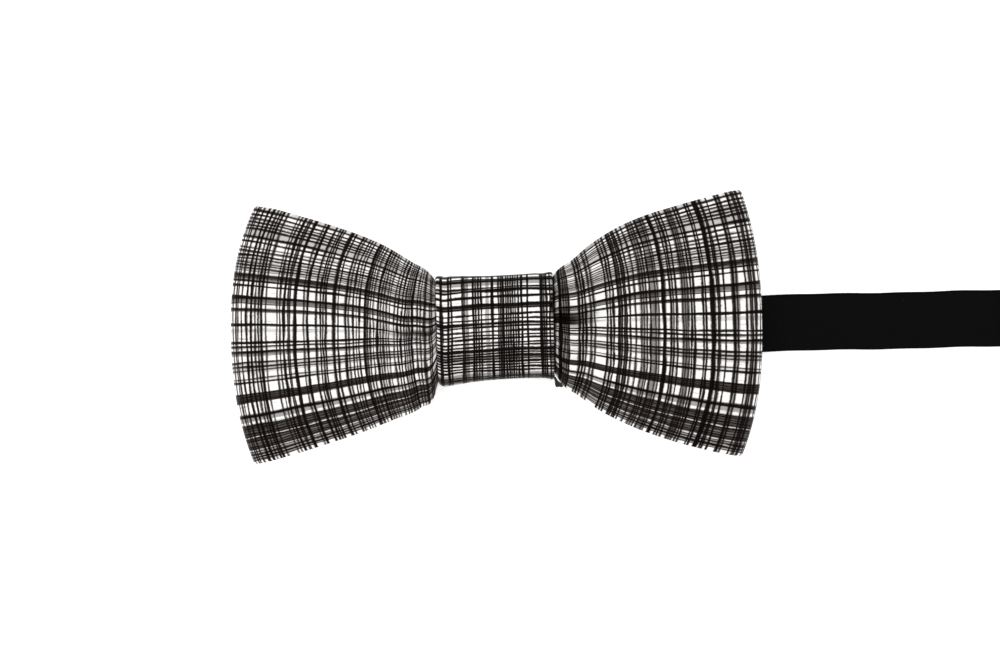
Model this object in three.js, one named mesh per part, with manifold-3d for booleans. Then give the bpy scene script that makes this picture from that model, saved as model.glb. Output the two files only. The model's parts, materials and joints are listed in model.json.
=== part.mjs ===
// Pre-tied bow tie with an adjustable neck band, lying face up and unfastened.
// Millimetres. +X runs along the bow towards the long end of the band, +Y is the wearer's up,
// +Z points out of the bow's face. The origin is the middle of the bow, on the surface it lies on.
import * as THREE from "three";
import { mergeVertices } from "three/addons/utils/BufferGeometryUtils.js";
import Module from "manifold-3d";

const wasm = await Module();
wasm.setup();

// ---- driving dimensions ----
const CLEARANCE = 0.3; // between touching pieces

const bow = {
  halfLength: 60.2, // middle of the bow to the outermost point of a wing
  endHalfHeight: 30.2, // half the height of a wing at its corners
  neckHalfHeight: 12.4, // half the height of a wing where it leaves the knot
  gatherHalfLength: 4.2, // half the length of the gathered stretch under the binding thread
  cornerSetback: 4.6, // how far the corners of a wing lie behind its outermost point
  cloth: 1.2, // the band of cloth with its turned-in edges
  interlining: 0.5,
  underside: 1.35, // lowest point of a wing above the surface
  loopHeight: 12.6, // a wing's outer fold, from its underside to its face
  foldRadius: 6.2, // how far the outer fold rounds in from the tip of a wing
};

const knot = {
  halfWidth: 12.9,
  halfHeight: 12.4,
  height: 14.7,
  cloth: 1.2,
  interlining: 0.6,
  cornerRadius: 3.4,
  seamWidth: 1.6,
  seamInset: 2, // from the knot's side edges to the ends of its closing seam
  seamDepth: 0.7,
};

const strap = {
  width: 13,
  thickness: 0.8,
  landing: 11, // length over which it comes down to the surface beside the knot
};

const thread = { thickness: 0.6, tackThickness: 0.4, tackLength: 1.6, tackWidth: 9 };

const slider = {
  x: 125, // middle of the slider, before it is moved
  halfLength: 7,
  bar: 1.5,
  centreBar: 1.2,
  rail: 1.3,
  thickness: 0.9,
  reach: 9, // from its middle to where the strap lies flat again
};

const hook = {
  x: 290, // its bar, before the slider is moved
  rail: 1.2,
  plate: 0.9,
  crossStart: 2.2, // clear of the strap's end loop
  crossEnd: 4.4,
  tongueHalfWidth: 3,
  tongueEnd: 13,
  tongueBend: 1.3,
  tipStart: 8.5,
};

const eye = { x: -24, rail: 1.2, plate: 0.9, farBarStart: 7.2, farBarEnd: 8.5 };

const endBarRadius = 0.55; // the round bar of the hook and of the eye
const endBarRoom = 0.25; // from that bar to the strap round it
const endLoopLength = 8; // from that bar to where the strap's layers lie flat on each other
const stemClearance = 0.4; // from the strap's edges to the rails of the metal pieces

// ---- levels that follow from them ----
const layer = (count) => strap.thickness / 2 + count * (strap.thickness + CLEARANCE);
const strapHalf = strap.width / 2;
const railStart = strapHalf + stemClearance;
const overTwoLayers = layer(1) + strap.thickness / 2 + CLEARANCE;
const endLoopRadius = endBarRadius + endBarRoom + strap.thickness / 2;
const endBarLevel = layer(0) + endLoopRadius;
const knotSkin = knot.cloth + CLEARANCE + knot.interlining;
const knotStrapLevel = knotSkin + CLEARANCE + strap.thickness / 2;
const bindingBottom = knotStrapLevel + strap.thickness / 2 + CLEARANCE + 0.1;
const bandBottom = bindingBottom + thread.thickness + CLEARANCE;
const gatherHalfHeight = knot.halfHeight - knotSkin - thread.thickness - 3 * CLEARANCE;
const bandTop = knot.height - knotSkin - CLEARANCE - thread.thickness - CLEARANCE;

// ---- materials ----
const finish = (color, roughness, metalness = 0) =>
  new THREE.MeshStandardMaterial({ color, roughness, metalness });
const checkedCotton = finish(0xe9e6df, 0.9);
const canvas = finish(0xd8d2c4, 0.95);
const blackSatin = finish(0x0d0d0e, 0.45);
const blackThread = finish(0x111111, 0.8);
const blackMetal = finish(0x1c1c1e, 0.35, 0.9);

// ---- geometry helpers ----
const alongY = new THREE.Matrix4().makeBasis(
  new THREE.Vector3(1, 0, 0),
  new THREE.Vector3(0, 0, 1),
  new THREE.Vector3(0, -1, 0),
);
const alongX = new THREE.Matrix4().makeBasis(
  new THREE.Vector3(0, 1, 0),
  new THREE.Vector3(0, 0, 1),
  new THREE.Vector3(1, 0, 0),
);

// A shape pushed both ways from its own plane, then turned by a matrix if one is given.
function prism(shape, width, turn, steps = 1) {
  const made = new THREE.ExtrudeGeometry(shape, { depth: width, steps, bevelEnabled: false });
  made.translate(0, 0, -width / 2);
  return turn ? made.applyMatrix4(turn) : made;
}

function solidOf(geometry) {
  const bare = geometry.clone().deleteAttribute("normal").deleteAttribute("uv");
  const merged = mergeVertices(bare, 1e-4);
  return new wasm.Manifold(
    new wasm.Mesh({
      numProp: 3,
      vertProperties: merged.attributes.position.array,
      triVerts: new Uint32Array(merged.index.array),
    }),
  );
}

function geometryOf(solid) {
  const mesh = solid.getMesh();
  return new THREE.BufferGeometry()
    .setAttribute("position", new THREE.BufferAttribute(mesh.vertProperties, 3))
    .setIndex(new THREE.BufferAttribute(mesh.triVerts, 1));
}

function rectangle(left, right, bottom, top, radius = 0) {
  const outline = new THREE.Shape();
  outline.moveTo(left + radius, bottom);
  outline.lineTo(right - radius, bottom);
  if (radius) outline.absarc(right - radius, bottom + radius, radius, -Math.PI / 2, 0);
  outline.lineTo(right, top - radius);
  if (radius) outline.absarc(right - radius, top - radius, radius, 0, Math.PI / 2);
  outline.lineTo(left + radius, top);
  if (radius) outline.absarc(left + radius, top - radius, radius, Math.PI / 2, Math.PI);
  outline.lineTo(left, bottom + radius);
  if (radius) outline.absarc(left + radius, bottom + radius, radius, Math.PI, 1.5 * Math.PI);
  return new THREE.Shape(outline.getPoints(4));
}

const block = (left, right, halfWidth, bottom, top) =>
  prism(rectangle(left, right, bottom, top), 2 * halfWidth, alongY);

// The points of a line shifted sideways by a distance, to its left where that is positive.
function shifted(points, distance, closed = false) {
  const last = points.length - 1;
  return points.map((point, i) => {
    const before = points[closed ? (i + last) % points.length : Math.max(i - 1, 0)];
    const after = points[closed ? (i + 1) % points.length : Math.min(i + 1, last)];
    const into = point.clone().sub(before);
    const out = after.clone().sub(point);
    if (!into.length()) into.copy(out);
    if (!out.length()) out.copy(into);
    into.normalize();
    out.normalize();
    const mean = into.clone().add(out).normalize();
    const stretch = distance / Math.max(mean.dot(into), 0.5);
    return new THREE.Vector2(point.x - mean.y * stretch, point.y + mean.x * stretch);
  });
}

// A flat strip seen from its edge: a line in X and Z, thickened and pushed across Y.
function strip(points, thickness, width) {
  const line = points.map(([x, z]) => new THREE.Vector2(x, z));
  const outline = [
    ...shifted(line, -thickness / 2),
    ...shifted(line, thickness / 2).reverse(),
  ];
  return prism(new THREE.Shape(outline), width, alongY);
}

function arcPoints(x, z, radius, from, to, steps) {
  return Array.from({ length: steps + 1 }, (_, i) => {
    const angle = THREE.MathUtils.degToRad(from + ((to - from) * i) / steps);
    return [x + radius * Math.cos(angle), z + radius * Math.sin(angle)];
  });
}

const root = new THREE.Group();
function add(name, geometry, material) {
  const mesh = new THREE.Mesh(geometry, material);
  mesh.name = name;
  root.add(mesh);
}

// ---- the bow: one band of cloth sewn into a flat loop and gathered in the middle ----

// The loop's outer surface seen from its lower edge, right half then left half.
function loopLine() {
  const neck = knot.halfWidth + CLEARANCE;
  const tip = bow.halfLength;
  const fold = tip - bow.foldRadius;
  const low = bow.underside;
  const high = low + bow.loopHeight;
  const middle = (low + high) / 2;
  const pull = bow.loopHeight / 4;
  const half = new THREE.Path();
  half.moveTo(0, bandBottom);
  half.lineTo(bow.gatherHalfLength, bandBottom);
  half.lineTo(neck - 0.2, bandBottom);
  half.lineTo(neck, bandBottom);
  half.bezierCurveTo(neck + 17, bandBottom, fold - 10, low, fold, low);
  half.bezierCurveTo(fold + bow.foldRadius / 2, low, tip, middle - pull, tip, middle);
  half.bezierCurveTo(tip, middle + pull, fold + bow.foldRadius / 2, high, fold, high);
  half.bezierCurveTo(fold - 12, high, neck + 9, high - 0.4, neck, bandTop);
  half.lineTo(neck - 0.2, bandTop);
  half.lineTo(bow.gatherHalfLength, bandTop);
  half.lineTo(0, bandTop);
  const right = half.getPoints(7).slice(1, -1);
  const left = right.map((p) => new THREE.Vector2(-p.x, p.y)).reverse();
  return [...right, ...left];
}

function wingHalfHeight(x) {
  const neck = knot.halfWidth + CLEARANCE;
  const away = Math.abs(x);
  if (away < bow.gatherHalfLength + 0.1) return gatherHalfHeight;
  if (away < neck - 0.1) return knot.halfHeight - knotSkin - 2 * CLEARANCE;
  const share = (away - neck) / (bow.halfLength - bow.cornerSetback - neck);
  const rise = bow.endHalfHeight - bow.neckHalfHeight;
  return bow.neckHalfHeight + rise * Math.min(Math.max(share, 0), 1) ** 0.85;
}

// A layer of that loop, from one depth below its outer surface to another: a ring whose section
// runs across the outer face to one edge, back across the inner face, and round to its start.
function loopLayer(from, to, heightShare) {
  const steps = 3;
  const outer = shifted(loopLine(), from, true);
  const inner = shifted(loopLine(), to, true);
  const section = [];
  for (let k = 0; k <= steps; k++) section.push([outer, k / steps]);
  for (let k = steps; k >= -steps; k--) section.push([inner, k / steps]);
  for (let k = -steps; k < 0; k++) section.push([outer, k / steps]);
  const made = new THREE.TorusGeometry(2, 1, section.length, outer.length);
  const place = made.attributes.position;
  for (let i = 0; i < place.count; i++) {
    const [face, across] = section[Math.floor(i / (outer.length + 1)) % section.length];
    const point = face[(i % (outer.length + 1)) % outer.length];
    const outwards = (Math.abs(point.x) / bow.halfLength) ** 4;
    const setback = Math.sign(point.x) * bow.cornerSetback * across ** 2 * outwards;
    place.setXYZ(i, point.x - setback, point.y, across * heightShare * wingHalfHeight(point.x));
  }
  return made.applyMatrix4(alongY);
}

add("bow_band", loopLayer(0, bow.cloth, 1), checkedCotton);
const liningDepth = bow.cloth + CLEARANCE;
add("bow_interlining", loopLayer(liningDepth, liningDepth + bow.interlining, 0.97), canvas);

// ---- the binding thread round the gathered middle ----
function frameAlongX(halfHeight, bottom, top, wall, halfLength, radius) {
  const outline = rectangle(-halfHeight, halfHeight, bottom, top, radius);
  const innerRadius = Math.max(radius - wall, 0);
  const hole = rectangle(
    -halfHeight + wall,
    halfHeight - wall,
    bottom + wall,
    top - wall,
    innerRadius,
  );
  outline.holes.push(new THREE.Path(hole.getPoints()));
  return prism(outline, 2 * halfLength, alongX);
}

const bindingHalfHeight = gatherHalfHeight + CLEARANCE + thread.thickness;
add(
  "pinch_thread",
  frameAlongX(
    bindingHalfHeight,
    bandBottom - CLEARANCE - thread.thickness,
    bandTop + CLEARANCE + thread.thickness,
    thread.thickness,
    2.2,
    0,
  ),
  blackThread,
);

// ---- the knot: a short band wrapped round the middle and sewn up at the back ----
const wrap = solidOf(
  frameAlongX(knot.halfHeight, 0, knot.height, knot.cloth, knot.halfWidth, knot.cornerRadius),
);
const seamReach = knot.halfWidth - knot.seamInset;
const seam = block(-seamReach, seamReach, knot.seamWidth / 2, -1, knot.seamDepth);
add("knot_wrap", geometryOf(wrap.subtract(solidOf(seam))), checkedCotton);
add(
  "knot_seam_thread",
  block(
    -seamReach + CLEARANCE,
    seamReach - CLEARANCE,
    knot.seamWidth / 2 - CLEARANCE,
    0,
    knot.seamDepth - CLEARANCE,
  ),
  blackThread,
);
const knotInset = knot.cloth + CLEARANCE;
add(
  "knot_interlining",
  frameAlongX(
    knot.halfHeight - knotInset,
    knotInset,
    knot.height - knotInset,
    knot.interlining,
    knot.halfWidth - 1,
    Math.max(knot.cornerRadius - knotInset, 0.4),
  ),
  canvas,
);

// The cut end of the sewing thread, left at the knot's lower corner on the long band's side.
const tail = new THREE.Shape();
const tailStart = knot.halfWidth + CLEARANCE;
tail.moveTo(tailStart, -knot.halfHeight + 1.6);
tail.lineTo(tailStart, -knot.halfHeight + 0.5);
tail.lineTo(tailStart + 1.5, -knot.halfHeight - 1);
tail.lineTo(tailStart + 2.1, -knot.halfHeight - 0.3);
const tailPiece = prism(tail, thread.thickness);
tailPiece.translate(0, 0, bandTop + 1.3);
add("thread_tail", tailPiece, blackThread);

// ---- the neck band's strap ----

// The strap's fold round an end bar. way is 1 for a bar at the +X end and -1 for one at the -X end.
function endLoop(barX, way, flatLength) {
  const upper = endBarLevel + endLoopRadius;
  const turn = arcPoints(barX, endBarLevel, endLoopRadius, 90, way > 0 ? -90 : 270, 10);
  return [
    [barX - way * flatLength, layer(1)],
    [barX - way * (flatLength - 2), layer(1)],
    [barX - way * 2, upper],
    ...turn,
    [barX - way * 2, layer(0)],
    [barX - way * flatLength, layer(0)],
  ];
}

const knotEdge = knot.halfWidth;
const shortLoop = endLoop(eye.x, -1, endLoopLength);
add(
  "strap_inner_run",
  strip(
    [
      [knotEdge, knotStrapLevel],
      [-knotEdge + 0.5, knotStrapLevel],
      ...shortLoop,
    ],
    strap.thickness,
    strap.width,
  ),
  blackSatin,
);
add(
  "strap_long_run",
  strip(
    [
      [knotEdge + CLEARANCE, knotStrapLevel],
      [knotEdge + 2, knotStrapLevel - 0.15],
      [knotEdge + strap.landing - 2, layer(0) + 0.15],
      [knotEdge + strap.landing, layer(0)],
      [slider.x - slider.reach - CLEARANCE, layer(0)],
    ],
    strap.thickness,
    strap.width,
  ),
  blackSatin,
);

// Where it climbs through the slider, over the centre bar and the strap's own sewn end.
const centreHalf = slider.centreBar / 2;
const centreLevel = overTwoLayers + slider.thickness / 2;
const wrapRadius = slider.thickness / 2 + CLEARANCE + strap.thickness / 2 + 0.3;
const humpLevel = centreLevel + wrapRadius + strap.thickness + CLEARANCE;
const slotEdge = slider.halfLength - slider.bar;
add(
  "strap_slider_hump",
  strip(
    [
      [slider.x - slider.reach, layer(0)],
      [slider.x - slider.halfLength, layer(1) - 0.1],
      [slider.x - slotEdge - 0.1, layer(1)],
      [slider.x - slotEdge + 0.9, layer(1) + 0.4],
      [slider.x - 2.4, humpLevel - 0.6],
      [slider.x - 0.9, humpLevel],
      [slider.x + 0.9, humpLevel],
      [slider.x + 2.4, humpLevel - 0.6],
      [slider.x + slotEdge - 0.9, layer(1) + 0.4],
      [slider.x + slotEdge + 0.1, layer(1)],
      [slider.x + slider.reach, layer(1)],
    ],
    strap.thickness,
    strap.width,
  ),
  blackSatin,
);
add(
  "strap_slider_loop",
  strip(
    [
      [slider.x + slider.reach, layer(0)],
      [slider.x + 4.6, layer(0)],
      [slider.x + 2.2, centreLevel - wrapRadius - 0.2],
      ...arcPoints(slider.x - centreHalf + 0.3, centreLevel, wrapRadius, -90, -270, 10),
      [slider.x + centreHalf + 0.4, centreLevel + wrapRadius - 0.05],
      [slider.x + centreHalf + 1.3, centreLevel + wrapRadius - 0.7],
    ],
    strap.thickness,
    strap.width,
  ),
  blackSatin,
);

const doubledStart = slider.x + slider.reach + CLEARANCE;
const doubledEnd = hook.x - endLoopLength - CLEARANCE;
function flatRun(name, level) {
  const low = level - strap.thickness / 2;
  add(name, block(doubledStart, doubledEnd, strapHalf, low, low + strap.thickness), blackSatin);
}
flatRun("strap_outer_run", layer(1));
flatRun("strap_return_run", layer(0));
add(
  "strap_hook_loop",
  strip(endLoop(hook.x, 1, endLoopLength), strap.thickness, strap.width),
  blackSatin,
);

// ---- bar tacks: short rows of stitches across the strap ----
function tack(name, middle, bottom) {
  const half = thread.tackLength / 2;
  add(
    name,
    block(middle - half, middle + half, thread.tackWidth / 2, bottom, bottom + thread.tackThickness),
    blackThread,
  );
}
tack("eye_tack", eye.x + endLoopLength - 1, overTwoLayers + 0.1);
tack("hook_tack", hook.x - endLoopLength + 1, overTwoLayers);
tack("slider_tack", slider.x + slider.reach - 1, overTwoLayers);

// ---- metal pieces ----
function sliderFrame() {
  const edge = railStart + slider.rail;
  const plate = rectangle(-slider.halfLength, slider.halfLength, -edge, edge, 1);
  for (const side of [-1, 1]) {
    const near = side * centreHalf;
    const far = side * slotEdge;
    const slot = rectangle(Math.min(near, far), Math.max(near, far), -railStart, railStart, 0.3);
    plate.holes.push(new THREE.Path(slot.getPoints()));
  }
  const made = prism(plate, slider.thickness);
  made.translate(slider.x, 0, overTwoLayers + slider.thickness / 2);
  return made;
}
add("slider_frame", sliderFrame(), blackMetal);

// A round end bar with its two rails, reaching from the bar to a cross bar.
function endFrame(barX, way, piece, crossStart, crossEnd) {
  const edge = railStart + piece.rail;
  const bar = new THREE.CylinderGeometry(endBarRadius, endBarRadius, 2 * edge, 10);
  bar.translate(barX, 0, endBarLevel);
  const low = endBarLevel - piece.plate / 2;
  const high = endBarLevel + piece.plate / 2;
  const span = [barX, barX + way * crossEnd].sort((a, b) => a - b);
  const cross = [barX + way * crossStart, barX + way * crossEnd].sort((a, b) => a - b);
  let made = solidOf(bar).add(solidOf(block(...cross, edge, low, high)));
  for (const side of [-1, 1]) {
    const rail = block(...span, piece.rail / 2, low, high);
    rail.translate(0, side * (railStart + piece.rail / 2), 0);
    made = made.add(solidOf(rail));
  }
  return made;
}

function hookPiece() {
  const upper = endBarLevel + 2 * hook.tongueBend;
  const tongue = strip(
    [
      [hook.x + hook.crossStart + 0.5, endBarLevel],
      ...arcPoints(hook.x + hook.tongueEnd, endBarLevel + hook.tongueBend, hook.tongueBend, -90, 90, 8),
      [hook.x + hook.tipStart, upper],
      [hook.x + hook.tipStart - 1.6, upper + 0.5],
    ],
    hook.plate,
    2 * hook.tongueHalfWidth,
  );
  return endFrame(hook.x, 1, hook, hook.crossStart, hook.crossEnd).add(solidOf(tongue));
}
add("hook", geometryOf(hookPiece()), blackMetal);
add("eye", geometryOf(endFrame(eye.x, -1, eye, eye.farBarStart, eye.farBarEnd)), blackMetal);

export default root;
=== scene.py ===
"""A pre-tied bow tie of checked cotton on a black satin neck band, lying face up.

The frame is the part's own: +X along the bow towards the long end of the band, +Y the wearer's up,
+Z out of the bow's face. Sizes here are millimetres, and become metres when a mesh is made.
"""

import json
import math

import bmesh
import bpy
import numpy as np
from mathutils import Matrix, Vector


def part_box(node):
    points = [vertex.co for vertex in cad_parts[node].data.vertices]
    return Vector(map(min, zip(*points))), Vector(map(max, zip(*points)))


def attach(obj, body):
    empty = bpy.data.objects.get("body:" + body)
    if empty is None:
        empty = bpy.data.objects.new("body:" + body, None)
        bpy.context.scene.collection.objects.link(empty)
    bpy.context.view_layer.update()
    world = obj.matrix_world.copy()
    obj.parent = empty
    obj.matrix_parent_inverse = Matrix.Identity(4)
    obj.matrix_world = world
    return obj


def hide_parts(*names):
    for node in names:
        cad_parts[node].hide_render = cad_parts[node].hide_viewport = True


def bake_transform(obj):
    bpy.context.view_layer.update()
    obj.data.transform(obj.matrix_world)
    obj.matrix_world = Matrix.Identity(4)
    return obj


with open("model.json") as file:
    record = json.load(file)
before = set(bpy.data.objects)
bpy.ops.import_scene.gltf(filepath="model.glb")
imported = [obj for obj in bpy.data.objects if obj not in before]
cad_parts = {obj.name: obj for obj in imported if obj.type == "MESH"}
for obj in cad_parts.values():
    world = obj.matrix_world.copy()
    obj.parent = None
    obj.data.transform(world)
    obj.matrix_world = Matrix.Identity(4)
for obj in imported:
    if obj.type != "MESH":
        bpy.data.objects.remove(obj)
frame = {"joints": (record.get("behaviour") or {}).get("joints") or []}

MM = 0.001
X, Y, Z = np.eye(3)
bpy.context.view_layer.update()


def span(node):
    """A node's lowest and highest corners, in millimetres."""
    return [np.array(corner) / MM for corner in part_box(node)]


def joint_place(name):
    joint = next(j for j in frame["joints"] if j["name"] == name)
    return np.array(joint["pos_m"]) / MM


# ---------------------------------------------------------------- sizes from the model
KNOT_LOW, KNOT_HIGH = span("knot_wrap")
SLIDER_LOW, SLIDER_HIGH = span("slider_frame")
HOOK_X, _, BAR_LEVEL = joint_place("hook_swing")
EYE_X = joint_place("eye_swing")[0]
SLIDER_X = (SLIDER_LOW[0] + SLIDER_HIGH[0]) / 2
SLIDER_LEVEL = (SLIDER_LOW[2] + SLIDER_HIGH[2]) / 2
KNOT_EDGE = KNOT_HIGH[0]

STRAP_HALF = 6.5
STRAP_THICKNESS = 0.8
LOWER_LAYER, UPPER_LAYER = 0.4, 1.5
KNOT_STRAP_LEVEL = 2.8
END_LOOP = 1.2  # the strap's radius round an end bar
CLOTH = 1.1
CLOTH_WIDTH = 60.0
GAP = 0.2


# ---------------------------------------------------------------- camera
VIEW_WIDTH = 225.6  # what the view takes in at the level of the wings
WING_LEVEL = 10.0
LENS, SENSOR = 100.0, 36.0


def make_camera():
    data = bpy.data.cameras.new("camera")
    data.lens, data.sensor_width = LENS, SENSOR
    data.clip_start, data.clip_end = 0.01, 20
    camera = bpy.data.objects.new("camera", data)
    bpy.context.scene.collection.objects.link(camera)
    camera.location = (0.0011, -0.0009, (VIEW_WIDTH * LENS / SENSOR + WING_LEVEL) * MM)
    camera.rotation_euler = (0, 0, -math.radians(1.25))
    bpy.context.scene.camera = camera


make_camera()


# ---------------------------------------------------------------- finishes
class Value:
    """One socket of a finish, which can be used in a sum."""

    def __init__(self, finish, socket):
        self.finish, self.socket = finish, socket

    def sum(self, operation, *others):
        values = dict(enumerate((self, *others)))
        return self.finish.node("ShaderNodeMath", {"operation": operation}, values)

    def __add__(self, other):
        return self.sum("ADD", other)

    def __mul__(self, other):
        return self.sum("MULTIPLY", other)

    __radd__, __rmul__ = __add__, __mul__

    def __sub__(self, other):
        return self.sum("SUBTRACT", other)

    def __rsub__(self, other):
        return self * -1 + other

    def __truediv__(self, other):
        return self.sum("DIVIDE", other)

    def __pow__(self, other):
        return self.sum("POWER", other)

    def __abs__(self):
        return self.sum("ABSOLUTE")

    def __gt__(self, other):
        return self.sum("GREATER_THAN", other)

    def sine(self):
        return self.sum("SINE")

    def between(self, low, high):
        """0 at low and 1 at high, kept between them."""
        settings = {"clamp": True, "interpolation_type": "SMOOTHSTEP"}
        values = {"Value": self, "From Min": low, "From Max": high}
        return self.finish.node("ShaderNodeMapRange", settings, values)


class Finish:
    """A material with one Principled surface."""

    def __init__(self, name, slot, **constants):
        self.slot = slot
        self.material = bpy.data.materials.new(name)
        self.material.use_nodes = True
        self.tree = self.material.node_tree
        self.surface = self.tree.nodes["Principled BSDF"]
        for socket, value in constants.items():
            self.surface.inputs[socket.replace("_", " ")].default_value = value

    def node(self, kind, settings=None, values=None, output=0):
        made = self.tree.nodes.new(kind)
        for name, value in (settings or {}).items():
            if name == "stops":
                self.set_stops(made.color_ramp.elements, value)
            else:
                setattr(made, name, value)
        for name, value in (values or {}).items():
            if isinstance(value, Value):
                self.tree.links.new(value.socket, made.inputs[name])
            else:
                made.inputs[name].default_value = value
        return Value(self, made.outputs[output])

    @staticmethod
    def set_stops(elements, stops):
        elements.remove(elements[1])
        for place, shade in stops:
            elements.new(place).color = (shade, shade, shade, 1)
        elements.remove(elements[0])

    def feed(self, socket, value):
        self.tree.links.new(value.socket, self.surface.inputs[socket])

    def along_and_across(self):
        """How far along the cloth and across it a point is, in millimetres."""
        both = self.node("ShaderNodeUVMap", {"uv_map": "cloth"})
        apart = self.node("ShaderNodeSeparateXYZ", None, {0: both})
        return apart, Value(self, apart.socket.node.outputs[1])

    def place(self, x, y, z=0.0):
        return self.node("ShaderNodeCombineXYZ", None, {0: x, 1: y, 2: z})

    def in_frame(self):
        """A point's place in the part's frame, in millimetres."""
        point = self.node("ShaderNodeTexCoord", None, None, "Object")
        values = {0: point, 1: (1 / MM, 1 / MM, 1 / MM)}
        return self.node("ShaderNodeVectorMath", {"operation": "MULTIPLY"}, values)

    def noise(self, vector, scale=1.0, detail=2.0):
        values = {"Vector": vector, "Scale": scale, "Detail": detail}
        return self.node("ShaderNodeTexNoise", None, values)

    def blend(self, share, first, second):
        """The first colour where share is 0 and the second where it is 1."""
        first, second = (c if isinstance(c, Value) else (*c, 1) for c in (first, second))
        values = {0: share, 6: first, 7: second}
        return self.node("ShaderNodeMix", {"data_type": "RGBA"}, values, 2)

    def bump(self, height, distance, strength=1.0):
        values = {"Height": height, "Distance": distance * MM, "Strength": strength}
        self.feed("Normal", self.node("ShaderNodeBump", None, values))


LINES_IN_A_RAMP = 7
SOFT_EDGE = 0.05
WASH = 0.6  # a line no darker than this is thin ink brushed on


def bare_between(finish, along, lines):
    """1 on bare cloth and 0 on a full line. Each line is (middle, width, darkness)."""
    lines = sorted(lines)
    low, high = lines[0][0] - 2, lines[-1][0] + 2
    ramps = math.ceil(len(lines) / LINES_IN_A_RAMP)
    share = (along - low) / (high - low)
    bare = None
    for first in range(ramps):
        stops = [(0.0, 1.0)]
        for middle, width, dark in lines[first::ramps]:
            half = width / 2 + 0.1
            if dark > WASH:
                dark = 1 - 0.3 * (1 - dark)
            for place, shade in (
                (middle - half - SOFT_EDGE, 1.0),
                (middle - half + SOFT_EDGE, 1 - dark),
                (middle + half - SOFT_EDGE, 1 - dark),
                (middle + half + SOFT_EDGE, 1.0),
            ):
                stops.append(((place - low) / (high - low), shade))
        ramp = finish.node("ShaderNodeValToRGB", {"stops": stops}, {0: share})
        bare = ramp if bare is None else bare * ramp
    return bare


def even_lines(low, high, count, width, dark):
    """Lines drawn by hand between two places: nearly even, some stronger than others."""
    step = (high - low) / (count - 1)
    return [
        (
            low + k * step + 0.12 * step * math.sin(7.3 * k + low),
            width * (1 + 0.3 * math.sin(4.1 * k + low)),
            dark * (0.86 + 0.14 * math.sin(2.7 * k)),
        )
        for k in range(count)
    ]


def strengths(places, width, dark):
    return [(place, width, dark) for place in places]


# The drawn check: lines along the band, from its upper edge down.
ALONG_THE_BAND = [
    *strengths((1.5, 6.5, 18.0, 23.7, 27.5, 34.1), 0.42, 0.96),
    *strengths((7.7, 10.8, 31.8, 32.9, 41.5, 0.4), 0.32, 0.85),
    *strengths((2.4, 3.2, 3.9, 4.7, 9.0, 9.8, 22.3, 24.1), 0.22, 0.7),
    *strengths((36.8, 37.7, 38.6, 40.6), 0.22, 0.72),
    *even_lines(11.7, 14.4, 5, 0.16, 0.8),
    *even_lines(15.2, 16.8, 4, 0.3, 0.88),
    *even_lines(44.4, 46.3, 5, 0.3, 0.92),
    *even_lines(51.7, 59.5, 14, 0.29, 0.95),
    (20.9, 0.5, 0.97), (21.5, 0.7, 0.55), (49.4, 0.6, 0.97),
    (5.5, 1.2, 0.22), (28.9, 0.7, 0.14), (34.7, 0.6, 0.4), (50.3, 0.7, 0.35), (37.9, 2.4, 0.14),
]
# Lines across the band, from the middle of the bow outwards: the long band's side, then the other.
ACROSS_RIGHT = [
    *strengths((19.0, 19.75, 20.5, 27.9, 44.6, 56.4, 25.2), 0.3, 0.92),
    *strengths((15.5, 16.1, 16.6, 21.6, 22.4, 26.0, 26.6, 28.4, 29.0, 29.4), 0.22, 0.8),
    *strengths((30.2, 31.4, 32.8, 33.4, 34.0, 34.7, 35.9, 36.5), 0.2, 0.8),
    *strengths((39.3, 39.9, 40.6, 42.0, 42.6, 43.2, 43.9), 0.22, 0.84),
    *strengths((46.6, 47.2, 49.8, 50.3, 51.5, 54.4, 57.3, 57.8, 58.5, 58.9, 60.2), 0.24, 0.82),
    (14.8, 0.6, 0.95), (37.85, 0.7, 0.98), (48.75, 0.9, 0.98), (53.6, 0.6, 0.86),
    (35.3, 0.8, 0.45), (13.4, 0.3, 0.8), (61.6, 0.3, 0.8),
]
ACROSS_LEFT = [
    *strengths((18.9, 29.4, 33.7, 40.4, 55.2, 56.2, 26.6), 0.34, 0.94),
    *strengths((13.4, 14.4, 14.8, 15.9, 16.2, 17.0, 17.8, 19.6, 20.1, 20.6, 21.4, 22.2), 0.1, 0.8),
    *strengths((22.9, 24.1, 24.7, 25.4, 26.0, 27.6, 28.3, 28.9, 30.7, 31.4, 32.1), 0.1, 0.8),
    *strengths((33.0, 35.5, 38.2, 38.8, 39.4, 43.1, 46.3, 46.8, 48.6, 49.4), 0.16, 0.8),
    *strengths((51.8, 53.5, 54.2, 57.5, 58.4, 59.0, 60.1), 0.18, 0.8),
    (36.4, 0.5, 0.8), (42.3, 0.5, 0.95), (45.15, 0.5, 0.95), (47.6, 0.4, 0.85), (52.8, 0.5, 0.92),
]
KNOT_ACROSS = [
    *strengths((-9.7, -7.2, -6.8, -4.2, -3.6, -3.0, 0.9, 1.4, 2.6, 3.1, 3.6, 4.1), 0.17, 0.82),
    *strengths((4.7, 5.3, 11.1, 11.6, 12.4), 0.17, 0.82),
    *strengths((-10.4, -4.8, 1.9, 6.1, 7.4, -0.5), 0.34, 0.93),
    (-12.0, 0.5, 0.8), (-6.2, 0.5, 0.4), (-1.6, 0.6, 0.3), (10.5, 0.5, 0.96),
]
KNOT_ALONG = [
    *strengths((10.7, 8.35, 6.95, 0.95, -6.4), 0.4, 0.92),
    *strengths((12.1, 11.25, 9.0, 4.4, 3.0, 1.9, 0.25, -0.8, -1.7, -2.4, -3.4, -4.1), 0.22, 0.84),
    *strengths((-5.75, -7.0, -7.6, -8.3, -9.0, -9.7, -11.1, -11.6), 0.24, 0.9),
    (5.05, 0.6, 0.97), (-5.0, 0.6, 0.97), (10.0, 0.5, 0.35), (-10.5, 0.5, 0.4),
]


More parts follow.
